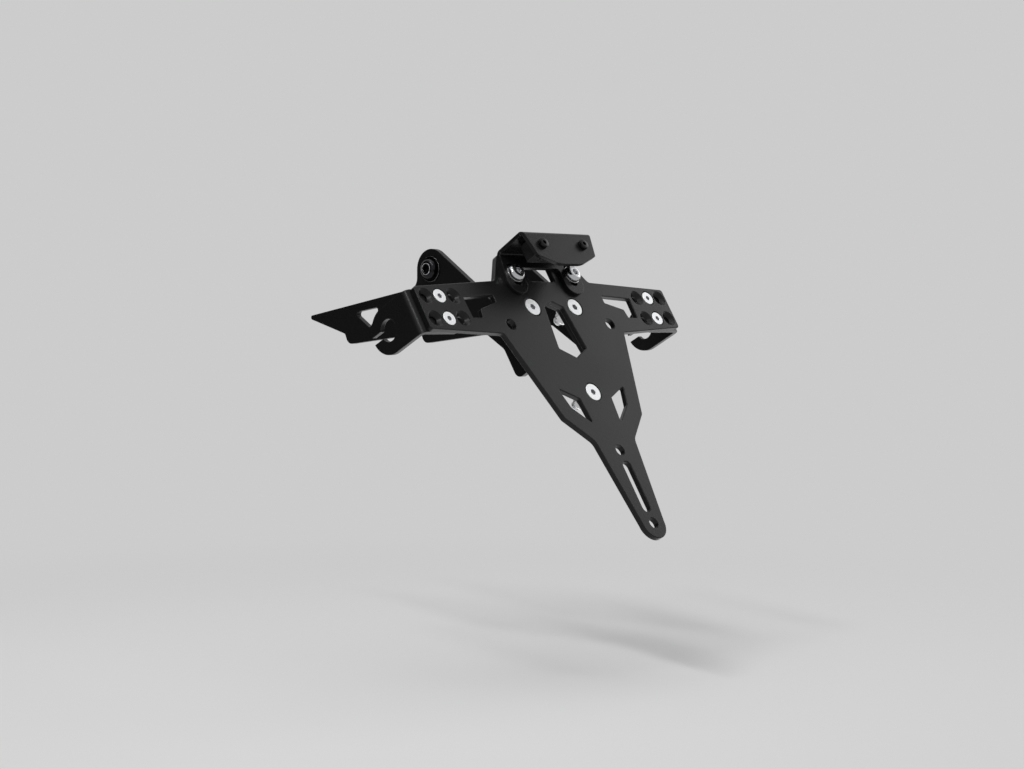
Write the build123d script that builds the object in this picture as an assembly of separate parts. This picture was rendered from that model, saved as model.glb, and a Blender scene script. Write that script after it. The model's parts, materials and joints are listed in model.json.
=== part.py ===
from build123d import *
import os
from math import cos, radians, sin

# Tail tidy: a flat cut plate with two arms, a tower and a tail, held by one folded bracket,
# with a forked bracket at the end of each arm and a small lamp under a folded light bracket.
# Millimetres. +Z is up, +Y is forward, +X is to the right seen from behind. The origin lies
# on the axis of the two tail bolts, midway between them.
# Sizes along the plate are given in the plate's own frame: x to the right, y up along the
# plate from the line of the two upper carrier screws, z out of the plate's rear face.

# Stance of the plate
PLATE_LEAN = 32.0            # degrees from upright, lower end to the rear
PLATE_BACK = 59.0            # upper carrier screws behind the tail bolts
PLATE_DROP = 19.7            # upper carrier screws below the tail bolts

# Plate carrier, half widths and heights in the plate's frame
PLATE_T = 3.0
ARM_HALF = 93.2
ARM_END_TOP = 11.4
ARM_END_BOTTOM = -12.5
ARM_ROOT_TOP = 15.4
ARM_CORNER_R = 1.6
TOWER_FOOT_HALF = 35.4
TOWER_HEAD_HALF = 25.7
TOWER_TOP = 31.0
TOWER_HEAD_R = 4.0
TOWER_FOOT_R = 3.0
NOTCH_HALF = 9.6
NOTCH_FLOOR = 15.3
NOTCH_R = 1.5
BODY_HALF = 45.4
BODY_TOP = -15.5
BODY_R = 2.0
WAIST_HALF = 29.5
WAIST_Y = -64.2
WAIST_R = 3.0
TAIL_ROOT_HALF = 15.0
TAIL_ROOT_Y = -78.0
TAIL_ROOT_R = 6.0
TAIL_HALF = 8.3
TAIL_END_Y = -124.5          # centre of the round end
PLATE_EDGE_BREAK = 0.3

# Cut-outs of the plate carrier: corners of the right-hand half
HEXAGON_TOP = 3.2
HEXAGON_SHOULDER = (6.9, -0.1)
HEXAGON_HIP = (10.2, -24.5)
HEXAGON_BOTTOM = -30.1
HEXAGON_R = 0.8
ARM_WINDOW_ROOT = 4.5        # inner end, in from the body's shoulder
ARM_WINDOW_ROOT_TOP = 7.0
ARM_WINDOW_ROOT_BOTTOM = 2.8
ARM_WINDOW_END = ((30.8, 5.4), (31.5, -6.4), (38.4, -6.2), (39.4, -1.3))    # in from the arm's end
ARM_WINDOW_R = 0.6
LOWER_WINDOW = ((24.6, -47.6), (12.0, -53.8), (10.5, -68.0), (21.1, -58.4))
LOWER_WINDOW_R = 0.6

# Plain holes and the slot in the tail
PLATE_HOLE_D = 6.4
PLATE_HOLE_X = 37.3
PLATE_HOLE_Y = -10.3
TAIL_HOLE_D = 6.0
TAIL_HOLE_Y = -83.7
TAIL_SLOT_W = 5.6
TAIL_SLOT_TOP = -92.9         # centres of the round ends
TAIL_SLOT_BOTTOM = -115.5

# Carrier screws, which hold the plate to the tail bracket
CARRIER_SCREW_X = 15.8
CARRIER_LOW_Y = -50.3
CARRIER_THREAD_SHOW = 3.0

# Grid of countersunk holes in each arm, with screws in the middle column
GRID_EDGE = 15.0             # middle column in from the arm's end
GRID_PITCH_X = 9.4
GRID_ROW = 6.4               # rows above and below the middle of the arm
GRID_MID_Y = -0.4
INDICATOR_THREAD_SHOW = 1.2

# Indicator brackets
INDICATOR_T = 2.5
INDICATOR_OVERHANG = 3.6     # outer face past the end of the arm
INDICATOR_BEND_R = 1.5       # inside the fold
INDICATOR_EDGE = 6.5         # from the screw column to the flange's inner end
INDICATOR_TILT = 3.7         # degrees, the tab past the fold turned up
INDICATOR_REACH = 16.5       # round hole past the fold, along the tab
INDICATOR_HOLE_D = 11.1
INDICATOR_SLOT_W = 3.8
INDICATOR_CORNER_R = 2.0

# Tail bracket, folded from one sheet
BRACKET_T = 3.0
BRACKET_HALF = 30.0          # outer faces of the side plates
BRACKET_BEND_R = 2.0         # inside the fold
WEB_TOP = 10.0
LEG_END = -32.4
LEG_DEPTH = 13.8             # side plate along the carrier
LEG_CORNER_R = 4.0
LEG_KNEE = -14.6             # height where the leg's front edge turns off the carrier
LEG_KNEE_R = 6.0
LEG_SPREAD = 27.0            # degrees off the carrier above the knee
LEG_ROOT_R = 3.0
TONGUE_STEP = 5.0            # flat of the web past the tongue's root, on each side
TONGUE_R = 8.5
TONGUE_NECK_R = 6.0
WEB_WINDOW_GROW = 1.5        # web window past the carrier's hexagon
EAR_R = 10.5
EAR_SLOPE = 34.0             # degrees, rear edge of the ear below level
EAR_FOOT_R = 5.0
NOSE_Y = 99.3                # pointed front end
NOSE_Z = -24.8
NOSE_R = 1.2
NOSE_TOP_Z = -9.5            # upper edge where it meets the ear
NOSE_TOP_R = 6.0
HEEL_TOP = (67.0, -33.9)     # where the nose's lower edge turns down
HEEL_TOP_R = 2.0
HEEL = (64.6, -39.6)         # lowest corner of the side plate
HEEL_R = 4.5
BELLY_RISE = 6.2             # degrees, lower edge rising from the heel to the rear
SIDE_WINDOW = ((60.0, -22.4), (39.0, -19.3), (47.0, -30.7))
SIDE_WINDOW_R = 1.5

# Tail bolts
TAIL_BOLT_REACH = 7.4        # free thread inside the ear

# Light bracket, folded from one sheet, on the plate's rear face
LIGHT_T = 2.0
LIGHT_BEND_R = 0.8           # inside each fold
LIGHT_TOP = 32.0
LIGHT_HEAD_HALF = 25.2
LIGHT_WEB_BOTTOM = 22.2
LIGHT_BOLT_X = 21.2
LIGHT_BOLT_Y = 18.0
LIGHT_TAB_R = 6.8
LIGHT_TAB_Y = 13.7           # centre of each tab's round end
LIGHT_SLOT_TOP = 22.0
LIGHT_SLOT_BOTTOM = 14.4
FLANGE_WAIST_HALF = 21.5
FLANGE_WAIST_Y = 17.2
FLANGE_WAIST_R = 1.5
FLANGE_FOOT_HALF = 8.8
FLANGE_FOOT_R = 20.0
FLANGE_BOTTOM = 12.1
LIGHT_WEB_R = 2.0
LIGHT_THREAD_SHOW = 2.0

# Lamp under the light bracket
LAMP_HALF = 18.0
LAMP_HEIGHT = 9.0
LAMP_HEADROOM = 0.6          # under the light bracket's shelf
LAMP_CLEAR = 3.65            # off the heads of the light bracket's bolts
LAMP_DEPTH = 10.0
LAMP_WALL = 1.6
LAMP_CAVITY = 4.4
LAMP_R = 1.5
LENS_T = 1.6
LENS_INSET = 0.7             # housing between the lens and each insert
LENS_LEDGE = 0.8
LENS_GAP = 0.05
BOARD_T = 1.0
LED_LENGTH = 3.5
LED_WIDTH = 2.8
LED_T = 1.0
LED_PITCH = 7.5
LED_COUNT = 3
LAMP_SCREW_EDGE = 3.0        # in from the lamp's end
LAMP_SCREW_DROP = 5.75       # below the lamp's top
LAMP_SCREW_L = 7.0
INSERT_WALL = 0.9
INSERT_L = 5.0
GROMMET_DROP = 4.9           # below the lamp's top
GROMMET_R = 2.4
GROMMET_BORE_R = 1.2
GROMMET_OUT = 2.2
GROMMET_IN = 1.6
GROMMET_EDGE_R = 0.6

# Fasteners
CLEARANCE = 0.5              # hole diameter over the shank
THREAD_GAP = 0.05            # nut bore over the thread, on the radius
SEAT_GAP = 0.05              # countersunk head off its cone
HEAD_RIM = 0.35              # straight rim of a countersunk head
HEAD_RING = 0.35             # open ring round a countersunk head
POINT_CHAMFER = 0.5
KEY_DEPTH = 0.55             # share of the head's height taken by the key's socket
M3_D = 3.0
M3_HEAD_D = 5.5
M3_HEAD_T = 2.0
M3_KEY = 2.0
M4_D = 4.0
M4_HEAD_D = 7.9
M4_KEY = 2.5
M4_NUT_AF = 7.0
M4_NUT_T = 2.2
M4_WASHER_D = 9.0
M4_WASHER_T = 0.8
M5_D = 5.0
M5_FLAT_HEAD_D = 9.9
M5_DOME_HEAD_D = 9.5
M5_DOME_HEAD_T = 2.75
M5_KEY = 3.0
M5_NUT_AF = 8.0
M5_NUT_T = 5.0
M5_WASHER_D = 10.0
M5_WASHER_T = 1.0
M6_D = 6.0
M6_HEAD_D = 10.5
M6_HEAD_T = 3.0
M6_KEY = 4.0
M6_WASHER_D = 13.2
M6_WASHER_T = 0.8
DOME_RIM = 0.25              # share of a dome head's height in its straight rim
NUT_COLLAR = 0.3             # share of a lock nut's height in its round collar
NUT_COLLAR_STEP = 0.25       # collar inside the flats of a lock nut

OVERRUN = 1.0                # cutters reach this far past the faces they open

HEXAGON_CORNER = 1 / cos(radians(30))    # a hexagon's corners over its flats
LEAN = radians(PLATE_LEAN)
PLATE_FRAME = Plane(
    origin=(0, -PLATE_BACK, -PLATE_DROP),
    x_dir=(1, 0, 0),
    z_dir=(0, -cos(LEAN), sin(LEAN)),
)
WEB_BACK = -PLATE_T - BRACKET_T
GRID_X = ARM_HALF - GRID_EDGE
LAMP_FRONT = LIGHT_T + M5_WASHER_T + M5_DOME_HEAD_T + LAMP_CLEAR
LAMP_BACK = LAMP_FRONT + LAMP_DEPTH
LIGHT_DEPTH = LAMP_BACK + LIGHT_T
LAMP_TOP = LIGHT_TOP - LIGHT_T - LAMP_HEADROOM
LAMP_BOTTOM = LAMP_TOP - LAMP_HEIGHT
LAMP_SCREW_X = LAMP_HALF - LAMP_SCREW_EDGE
LAMP_SCREW_Y = LAMP_TOP - LAMP_SCREW_DROP
GROMMET_Y = LAMP_TOP - GROMMET_DROP
CARRIER_SCREWS = ((-CARRIER_SCREW_X, 0), (CARRIER_SCREW_X, 0), (0, CARRIER_LOW_Y))
LIGHT_BOLTS = ((-LIGHT_BOLT_X, LIGHT_BOLT_Y), (LIGHT_BOLT_X, LIGHT_BOLT_Y))
GRID_ROWS = (GRID_MID_Y - GRID_ROW, GRID_MID_Y + GRID_ROW)
INDICATOR_SCREWS = [(side * GRID_X, row) for side in (-1, 1) for row in GRID_ROWS]
LAMP_SCREWS = ((-LAMP_SCREW_X, LAMP_SCREW_Y), (LAMP_SCREW_X, LAMP_SCREW_Y))


def rounded_face(corners):
    """Face with straight sides from (x, y, radius) corners."""
    face = make_face(Polyline(*[(x, y) for x, y, _ in corners], close=True))
    for x, y, radius in corners:
        if radius > 0:
            corner = face.vertices().sort_by_distance((x, y, 0))[0]
            face = fillet(corner, radius)
    return face


def mirrored(corners):
    """The same corners on the left, in the reverse order, so that both join to one outline."""
    return [(-x, y, radius) for x, y, radius in reversed(corners)]


def slab(face, low, high):
    """Solid over a face in the XY plane, from one height to another."""
    return Pos(0, 0, low) * extrude(face, high - low, dir=(0, 0, 1))


def ring(outer_r, inner_r, low, high):
    return slab(Circle(outer_r) - Circle(inner_r), low, high)


def at_places(solid, places, height=0.0):
    """Copies of a solid at places in the plate's frame."""
    return [Pos(x, y, height) * solid for x, y in places]


def key_socket(across_flats, top, depth):
    """Hexagon socket cut down from the top of a head."""
    key = RegularPolygon(across_flats / 2, 6, major_radius=False)
    return slab(key, top - depth, top + OVERRUN)


def turned(points):
    """Solid of revolution about Z from (radius, height) points."""
    profile = make_face(Polyline(*[(r, 0, h) for r, h in points], close=True))
    return revolve(profile, Axis.Z)


def flat_head_depth(head_d, shank_d):
    return HEAD_RIM + (head_d - shank_d) / 2


def flat_head_screw(shank_d, head_d, key, length):
    """Countersunk socket screw with its flat top at z = 0."""
    cone_end = -flat_head_depth(head_d, shank_d)
    body = turned((
        (0, 0), (head_d / 2, 0), (head_d / 2, -HEAD_RIM), (shank_d / 2, cone_end),
        (shank_d / 2, POINT_CHAMFER - length), (shank_d / 2 - POINT_CHAMFER, -length), (0, -length),
    ))
    return body - key_socket(key, 0, -cone_end * KEY_DEPTH)


def flat_head_cutter(shank_d, head_d, depth):
    """Through hole with a seat for a countersunk head, from z = 0 down."""
    hole_r = (shank_d + CLEARANCE) / 2
    seat_r = head_d / 2 + SEAT_GAP
    mouth_r = seat_r + HEAD_RING
    rim = HEAD_RIM + SEAT_GAP
    seat_end = -rim - (seat_r - hole_r)
    return turned((
        (0, OVERRUN), (mouth_r, OVERRUN), (mouth_r, -rim), (seat_r, -rim), (hole_r, seat_end),
        (hole_r, -depth - OVERRUN), (0, -depth - OVERRUN),
    ))


def dome_head_bolt(shank_d, head_d, head_t, key, length):
    """Button-head socket bolt with the underside of its head at z = 0."""
    shank_r = shank_d / 2
    crown_r = key / 2 + POINT_CHAMFER
    rim_t = head_t * DOME_RIM
    side = Line((head_d / 2, 0, 0), (head_d / 2, 0, rim_t))
    dome = TangentArc((head_d / 2, 0, rim_t), (crown_r, 0, head_t), tangent=(0, 0, 1))
    rest = Polyline(
        (crown_r, 0, head_t), (0, 0, head_t), (0, 0, -length), (shank_r - POINT_CHAMFER, 0, -length),
        (shank_r, 0, POINT_CHAMFER - length), (shank_r, 0, 0), (head_d / 2, 0, 0),
    )
    body = revolve(make_face([side, dome, *rest.edges()]), Axis.Z)
    return body - key_socket(key, head_t, head_t * KEY_DEPTH)


def cap_head_screw(shank_d, head_d, head_t, key, length):
    """Socket cap screw with the underside of its head at z = 0."""
    body = turned((
        (0, head_t), (head_d / 2 - POINT_CHAMFER, head_t), (head_d / 2, head_t - POINT_CHAMFER),
        (head_d / 2, 0), (shank_d / 2, 0), (shank_d / 2, POINT_CHAMFER - length),
        (shank_d / 2 - POINT_CHAMFER, -length), (0, -length),
    ))
    return body - key_socket(key, head_t, head_t * KEY_DEPTH)


def lock_nut(shank_d, across_flats, height):
    """Lock nut hanging below z = 0, with its round collar at the lower end."""
    collar = height * NUT_COLLAR
    hexagon = slab(RegularPolygon(across_flats / 2, 6, major_radius=False), collar - height, 0)
    corner_r = across_flats / 2 * HEXAGON_CORNER
    bevel = turned((
        (0, 0), (across_flats / 2, 0), (corner_r, across_flats / 2 - corner_r),
        (corner_r, collar - height), (0, collar - height),
    ))
    collar_r = across_flats / 2 - NUT_COLLAR_STEP
    neck = turned((
        (0, collar - height), (collar_r, collar - height), (collar_r, POINT_CHAMFER - height),
        (collar_r - POINT_CHAMFER, -height), (0, -height),
    ))
    bore = Pos(0, 0, -height / 2) * Cylinder(shank_d / 2 + THREAD_GAP, height + 2 * OVERRUN)
    return (hexagon & bevel) + neck - bore


def washer(outer_d, shank_d, thickness):
    """Flat washer lying on z = 0."""
    return ring(outer_d / 2, (shank_d + CLEARANCE) / 2, 0, thickness)


def hexagon_face(grow=0.0):
    """The carrier's tall hexagon, or the same grown on every side."""
    shoulder_x, shoulder_y = HEXAGON_SHOULDER
    hip_x, hip_y = HEXAGON_HIP
    right = [(shoulder_x, shoulder_y, HEXAGON_R), (hip_x, hip_y, HEXAGON_R)]
    corners = [(0, HEXAGON_TOP, HEXAGON_R), *right, (0, HEXAGON_BOTTOM, HEXAGON_R), *mirrored(right)]
    face = rounded_face(corners)
    return offset(face, grow) if grow > 0 else face


def slot_face(x, top, bottom, width):
    """Round-ended slot standing upright in the plate's frame."""
    return Pos(x, (top + bottom) / 2) * SlotCenterToCenter(top - bottom, width, rotation=90)


def arm_window_face(side):
    """Stepped window in one arm."""
    root = BODY_HALF - ARM_WINDOW_ROOT
    corners = [(root, ARM_WINDOW_ROOT_TOP)]
    corners += [(ARM_HALF - inset, y) for inset, y in ARM_WINDOW_END]
    corners.append((root, ARM_WINDOW_ROOT_BOTTOM))
    return rounded_face([(side * x, y, ARM_WINDOW_R) for x, y in corners])


def plate_carrier():
    right = [
        (NOTCH_HALF, NOTCH_FLOOR, NOTCH_R),
        (NOTCH_HALF, TOWER_TOP, TOWER_HEAD_R),
        (TOWER_HEAD_HALF, TOWER_TOP, TOWER_HEAD_R),
        (TOWER_FOOT_HALF, ARM_ROOT_TOP, TOWER_FOOT_R),
        (ARM_HALF, ARM_END_TOP, ARM_CORNER_R),
        (ARM_HALF, ARM_END_BOTTOM, ARM_CORNER_R),
        (BODY_HALF, BODY_TOP, BODY_R),
        (WAIST_HALF, WAIST_Y, WAIST_R),
        (TAIL_ROOT_HALF, TAIL_ROOT_Y, TAIL_ROOT_R),
        (TAIL_HALF, TAIL_END_Y, 0),
    ]
    outline = rounded_face([*right, *mirrored(right)]) + Pos(0, TAIL_END_Y) * Circle(TAIL_HALF)
    outline -= hexagon_face()
    outline -= slot_face(0, TAIL_SLOT_TOP, TAIL_SLOT_BOTTOM, TAIL_SLOT_W)
    for side in (-1, 1):
        outline -= arm_window_face(side)
        outline -= rounded_face([(side * x, y, LOWER_WINDOW_R) for x, y in LOWER_WINDOW])
    plate = slab(outline, -PLATE_T, 0)
    sheet_faces = plate.faces().filter_by(Plane.XY)
    plate = chamfer([edge for face in sheet_faces for edge in face.edges()], PLATE_EDGE_BREAK)

    holes = [Pos(0, y) * Circle(TAIL_HOLE_D / 2) for y in (TAIL_HOLE_Y, TAIL_END_Y)]
    holes += [Pos(x, PLATE_HOLE_Y) * Circle(PLATE_HOLE_D / 2) for x in (-PLATE_HOLE_X, PLATE_HOLE_X)]
    holes += [Pos(x, y) * Circle((M5_D + CLEARANCE) / 2) for x, y in LIGHT_BOLTS]
    plate -= [slab(hole, -PLATE_T - OVERRUN, OVERRUN) for hole in holes]
    plate -= at_places(flat_head_cutter(M5_D, M5_FLAT_HEAD_D, PLATE_T), CARRIER_SCREWS)
    grid = [
        (side * (GRID_X + column * GRID_PITCH_X), row)
        for side in (-1, 1) for column in (-1, 0, 1) for row in GRID_ROWS
    ]
    plate -= at_places(flat_head_cutter(M4_D, M4_HEAD_D, PLATE_T), grid)
    return plate


def indicator_bracket(side):
    """Angle behind one arm's end: a flange on the arm and a forked tab facing sideways."""
    outer = ARM_HALF + INDICATOR_OVERHANG
    inner = GRID_X - INDICATOR_EDGE
    low, high = ARM_END_BOTTOM, ARM_END_TOP
    face_z = -PLATE_T
    back_z = face_z - INDICATOR_T
    fold_z = back_z - INDICATOR_BEND_R
    bend_out = INDICATOR_BEND_R + INDICATOR_T
    tab_r = (high - low) / 2 * cos(radians(INDICATOR_TILT))
    tab_end = INDICATOR_REACH + tab_r

    # The sheet bent to an angle, longer and taller than the tab
    section = rounded_face([
        (inner, face_z, 0), (outer, face_z, bend_out), (outer, fold_z - tab_end, 0),
        (outer - INDICATOR_T, fold_z - tab_end, 0), (outer - INDICATOR_T, back_z, INDICATOR_BEND_R),
        (inner, back_z, 0),
    ])
    folded = Plane.XZ.offset(-high - tab_end) * extrude(section, high + tab_end - low, dir=(0, 0, 1))

    # The fold seen from the side, then the tab turned about the fold's lower end
    fork = Rectangle(2 * tab_r, INDICATOR_REACH, align=(Align.MIN, Align.MAX))
    seat = Pos(tab_r, -INDICATOR_REACH)
    fork += seat * Circle(tab_r)
    fork -= seat * Circle(INDICATOR_HOLE_D / 2)
    fork -= seat * Rectangle(INDICATOR_SLOT_W, 2 * tab_r, align=(Align.CENTER, Align.MAX))
    outline = Pos(low, fold_z) * Rectangle(high - low, OVERRUN - fold_z, align=(Align.MIN, Align.MIN))
    outline += Pos(low, fold_z) * Rot(0, 0, INDICATOR_TILT) * fork
    bracket = folded & (Plane.YZ * extrude(outline, outer + OVERRUN, dir=(0, 0, 1)))

    corner_r = INDICATOR_CORNER_R
    flange = rounded_face([
        (inner, low, corner_r), (outer, low, 0), (outer, high, 0), (inner, high, corner_r),
    ])
    tab_room = Pos(outer - bend_out, low) * Rectangle(bend_out, high + tab_end - low, align=Align.MIN)
    bracket &= slab(flange + tab_room, fold_z - tab_end - OVERRUN, OVERRUN)

    hole = slab(Circle((M4_D + CLEARANCE) / 2), back_z - OVERRUN, face_z + OVERRUN)
    bracket -= at_places(hole, [(GRID_X, row) for row in GRID_ROWS])
    return bracket if side > 0 else mirror(bracket, Plane.YZ)


def crossing(point_a, angle_a, point_b, angle_b):
    """Where two lines meet, each given by a point and a direction angle in degrees."""
    (ax, ay), (bx, by) = point_a, point_b
    dx, dy = cos(radians(angle_a)), sin(radians(angle_a))
    ex, ey = cos(radians(angle_b)), sin(radians(angle_b))
    reach = ((bx - ax) * ey - (by - ay) * ex) / (dx * ey - dy * ex)
    return ax + reach * dx, ay + reach * dy


def side_plate_face():
    """Outline of one side plate, drawn in the row's YZ plane as (forward, up)."""
    def on_plate(height, depth):
        spot = PLATE_FRAME.from_local_coords(Vector(0, height, -depth))
        return spot.Y, spot.Z

    along_plate = 90 - PLATE_LEAN
    out_of_plate = -PLATE_LEAN
    front_of_leg = PLATE_T + LEG_DEPTH
    ear_edge = 180 + EAR_SLOPE
    tangent = (-EAR_R * sin(radians(EAR_SLOPE)), EAR_R * cos(radians(EAR_SLOPE)))
    web_top = on_plate(WEB_TOP, PLATE_T)
    ear_foot = crossing(tangent, ear_edge, web_top, out_of_plate)
    knee = on_plate(LEG_KNEE, front_of_leg)
    leg_root = crossing(HEEL, 180 - BELLY_RISE, knee, along_plate - LEG_SPREAD)

    outline = rounded_face([
        (*web_top, 0),
        (*on_plate(LEG_END, PLATE_T), 0),
        (*on_plate(LEG_END, front_of_leg), LEG_CORNER_R),
        (*knee, LEG_KNEE_R),
        (*leg_root, LEG_ROOT_R),
        (*HEEL, HEEL_R),
        (*HEEL_TOP, HEEL_TOP_R),
        (NOSE_Y, NOSE_Z, NOSE_R),
        (EAR_R, NOSE_TOP_Z, NOSE_TOP_R),
        (EAR_R, 0, 0),
        (*tangent, 0),
        (*ear_foot, EAR_FOOT_R),
    ])
    outline += Circle(EAR_R)
    outline -= Circle((M6_D + CLEARANCE) / 2)
    return outline - rounded_face([(y, z, SIDE_WINDOW_R) for y, z in SIDE_WINDOW])


def tail_bracket():
    """Folded sheet: a web behind the carrier and two side plates with ears at the tail bolts."""
    front = -PLATE_T
    inner_half = BRACKET_HALF - BRACKET_T
    flat_half = inner_half - BRACKET_BEND_R
    bend_out = BRACKET_BEND_R + BRACKET_T
    length = NOSE_Y + PLATE_BACK + PLATE_DROP

    # The sheet bent to a channel, then trimmed to the outline of its side plates
    section = rounded_face([
        (BRACKET_HALF, front, bend_out), (BRACKET_HALF, -length, 0), (inner_half, -length, 0),
        (inner_half, WEB_BACK, BRACKET_BEND_R), (-inner_half, WEB_BACK, BRACKET_BEND_R),
        (-inner_half, -length, 0), (-BRACKET_HALF, -length, 0), (-BRACKET_HALF, front, bend_out),
    ])
    channel = Plane.XZ.offset(-length) * extrude(section, 2 * length, dir=(0, 0, 1))
    sides = Plane.YZ.offset(-BRACKET_HALF) * extrude(side_plate_face(), 2 * BRACKET_HALF, dir=(0, 0, 1))
    bracket = channel & PLATE_FRAME.to_local_coords(sides)

    right = [
        (flat_half, WEB_TOP, 0), (flat_half, LEG_END, 0),
        (flat_half - TONGUE_STEP, LEG_END, TONGUE_NECK_R), (TONGUE_R, CARRIER_LOW_Y, 0),
    ]
    web = rounded_face([*right, *mirrored(right)]) + Pos(0, CARRIER_LOW_Y) * Circle(TONGUE_R)
    bracket += slab(web, WEB_BACK, front)
    holes = hexagon_face(WEB_WINDOW_GROW)
    for x, y in CARRIER_SCREWS:
        holes += Pos(x, y) * Circle((M5_D + CLEARANCE) / 2)
    return bracket - slab(holes, WEB_BACK - OVERRUN, front + OVERRUN)


def carrier_screws():
    length = PLATE_T + BRACKET_T + M5_WASHER_T + M5_NUT_T + CARRIER_THREAD_SHOW
    return at_places(flat_head_screw(M5_D, M5_FLAT_HEAD_D, M5_KEY, length), CARRIER_SCREWS)


def carrier_washers():
    return at_places(washer(M5_WASHER_D, M5_D, M5_WASHER_T), CARRIER_SCREWS, WEB_BACK - M5_WASHER_T)


def carrier_nuts():
    return at_places(lock_nut(M5_D, M5_NUT_AF, M5_NUT_T), CARRIER_SCREWS, WEB_BACK - M5_WASHER_T)


def indicator_screws():
    length = PLATE_T + INDICATOR_T + M4_WASHER_T + M4_NUT_T + INDICATOR_THREAD_SHOW
    return at_places(flat_head_screw(M4_D, M4_HEAD_D, M4_KEY, length), INDICATOR_SCREWS)


def indicator_washers():
    seat = -PLATE_T - INDICATOR_T - M4_WASHER_T
    return at_places(washer(M4_WASHER_D, M4_D, M4_WASHER_T), INDICATOR_SCREWS, seat)


def indicator_nuts():
    seat = -PLATE_T - INDICATOR_T - M4_WASHER_T
    return at_places(lock_nut(M4_D, M4_NUT_AF, M4_NUT_T), INDICATOR_SCREWS, seat)


def light_bracket():
    """Folded sheet: slotted tabs on the plate, a shelf and a hanging flange."""
    top, depth = LIGHT_TOP, LIGHT_DEPTH
    bend_out = LIGHT_BEND_R + LIGHT_T
    foot = LIGHT_TAB_Y - LIGHT_TAB_R
    section = rounded_face([
        (foot, 0, 0), (top, 0, bend_out), (top, depth, bend_out), (FLANGE_BOTTOM, depth, 0),
        (FLANGE_BOTTOM, depth - LIGHT_T, 0), (top - LIGHT_T, depth - LIGHT_T, LIGHT_BEND_R),
        (top - LIGHT_T, LIGHT_T, LIGHT_BEND_R), (foot, LIGHT_T, 0),
    ])
    width = LIGHT_BOLT_X + LIGHT_TAB_R
    folded = Plane.YZ.offset(-width) * extrude(section, 2 * width, dir=(0, 0, 1))

    right = [
        (LIGHT_HEAD_HALF, top, 0),
        (LIGHT_BOLT_X + LIGHT_TAB_R, LIGHT_TAB_Y, 0),
        (LIGHT_BOLT_X - LIGHT_TAB_R, LIGHT_TAB_Y, 0),
        (LIGHT_BOLT_X - LIGHT_TAB_R, LIGHT_WEB_BOTTOM, LIGHT_WEB_R),
    ]
    web = rounded_face([*right, *mirrored(right)])
    for x, _ in LIGHT_BOLTS:
        web += Pos(x, LIGHT_TAB_Y) * Circle(LIGHT_TAB_R)
        web -= slot_face(x, LIGHT_SLOT_TOP, LIGHT_SLOT_BOTTOM, M5_D + CLEARANCE)

    right = [
        (LIGHT_HEAD_HALF, top, 0),
        (FLANGE_WAIST_HALF, FLANGE_WAIST_Y, FLANGE_WAIST_R),
        (FLANGE_FOOT_HALF, FLANGE_BOTTOM, FLANGE_FOOT_R),
    ]
    flange = rounded_face([*right, *mirrored(right)])
    for x, y in LAMP_SCREWS:
        flange -= Pos(x, y) * Circle((M3_D + CLEARANCE) / 2)

    shelf = Pos(0, top - bend_out / 2) * Rectangle(2 * LIGHT_HEAD_HALF, bend_out)
    keep = slab(web, -OVERRUN, bend_out) + slab(shelf, bend_out, depth - bend_out)
    keep += slab(flange, depth - bend_out, depth + OVERRUN)
    return folded & keep


def light_bracket_washers():
    return at_places(washer(M5_WASHER_D, M5_D, M5_WASHER_T), LIGHT_BOLTS, LIGHT_T)


def light_bracket_bolts():
    length = M5_WASHER_T + LIGHT_T + PLATE_T + M5_NUT_T + LIGHT_THREAD_SHOW
    bolt = dome_head_bolt(M5_D, M5_DOME_HEAD_D, M5_DOME_HEAD_T, M5_KEY, length)
    return at_places(bolt, LIGHT_BOLTS, LIGHT_T + M5_WASHER_T)


def light_bracket_nuts():
    return at_places(lock_nut(M5_D, M5_NUT_AF, M5_NUT_T), LIGHT_BOLTS, -PLATE_T)


LAMP_MID_Z = (LAMP_FRONT + LAMP_BACK) / 2
INSERT_R = M3_D / 2 + INSERT_WALL
MOUTH_HALF = LAMP_SCREW_X - INSERT_R - LENS_INSET
MOUTH_WIDTH = LAMP_DEPTH - 2 * LAMP_WALL


def lamp_block(half, width, low, high):
    """Box of the lamp's frame, centred under the flange."""
    return Pos(0, (low + high) / 2, LAMP_MID_Z) * Box(2 * half, high - low, width)


def lamp_housing():
    """Moulded box, open below for the lens, with a step that the lens rests on."""
    body = lamp_block(LAMP_HALF, LAMP_DEPTH, LAMP_BOTTOM, LAMP_TOP)
    top_edges = body.edges().filter_by(Axis.X).group_by(Axis.Y)[-1]
    body = fillet(body.edges().filter_by(Axis.Y) + top_edges, LAMP_R)
    body -= lamp_block(MOUTH_HALF, MOUTH_WIDTH, LAMP_BOTTOM - OVERRUN, LAMP_BOTTOM + LENS_T)
    inner_half = MOUTH_HALF - LENS_LEDGE
    inner_width = MOUTH_WIDTH - 2 * LENS_LEDGE
    body -= lamp_block(inner_half, inner_width, LAMP_BOTTOM, LAMP_BOTTOM + LAMP_CAVITY)
    pocket = Pos(0, 0, LAMP_BACK - INSERT_L / 2) * Cylinder(INSERT_R, INSERT_L)
    body -= at_places(pocket, LAMP_SCREWS)
    tip = Pos(0, 0, LAMP_BACK - LAMP_SCREW_L / 2) * Cylinder((M3_D + CLEARANCE) / 2, LAMP_SCREW_L)
    body -= at_places(tip, LAMP_SCREWS)
    gland = Pos(0, GROMMET_Y, LAMP_FRONT + GROMMET_IN / 2)
    return body - gland * Cylinder(GROMMET_R, GROMMET_IN)


def lamp_lens():
    half, width = MOUTH_HALF - LENS_GAP, MOUTH_WIDTH - 2 * LENS_GAP
    return lamp_block(half, width, LAMP_BOTTOM, LAMP_BOTTOM + LENS_T)


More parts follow.
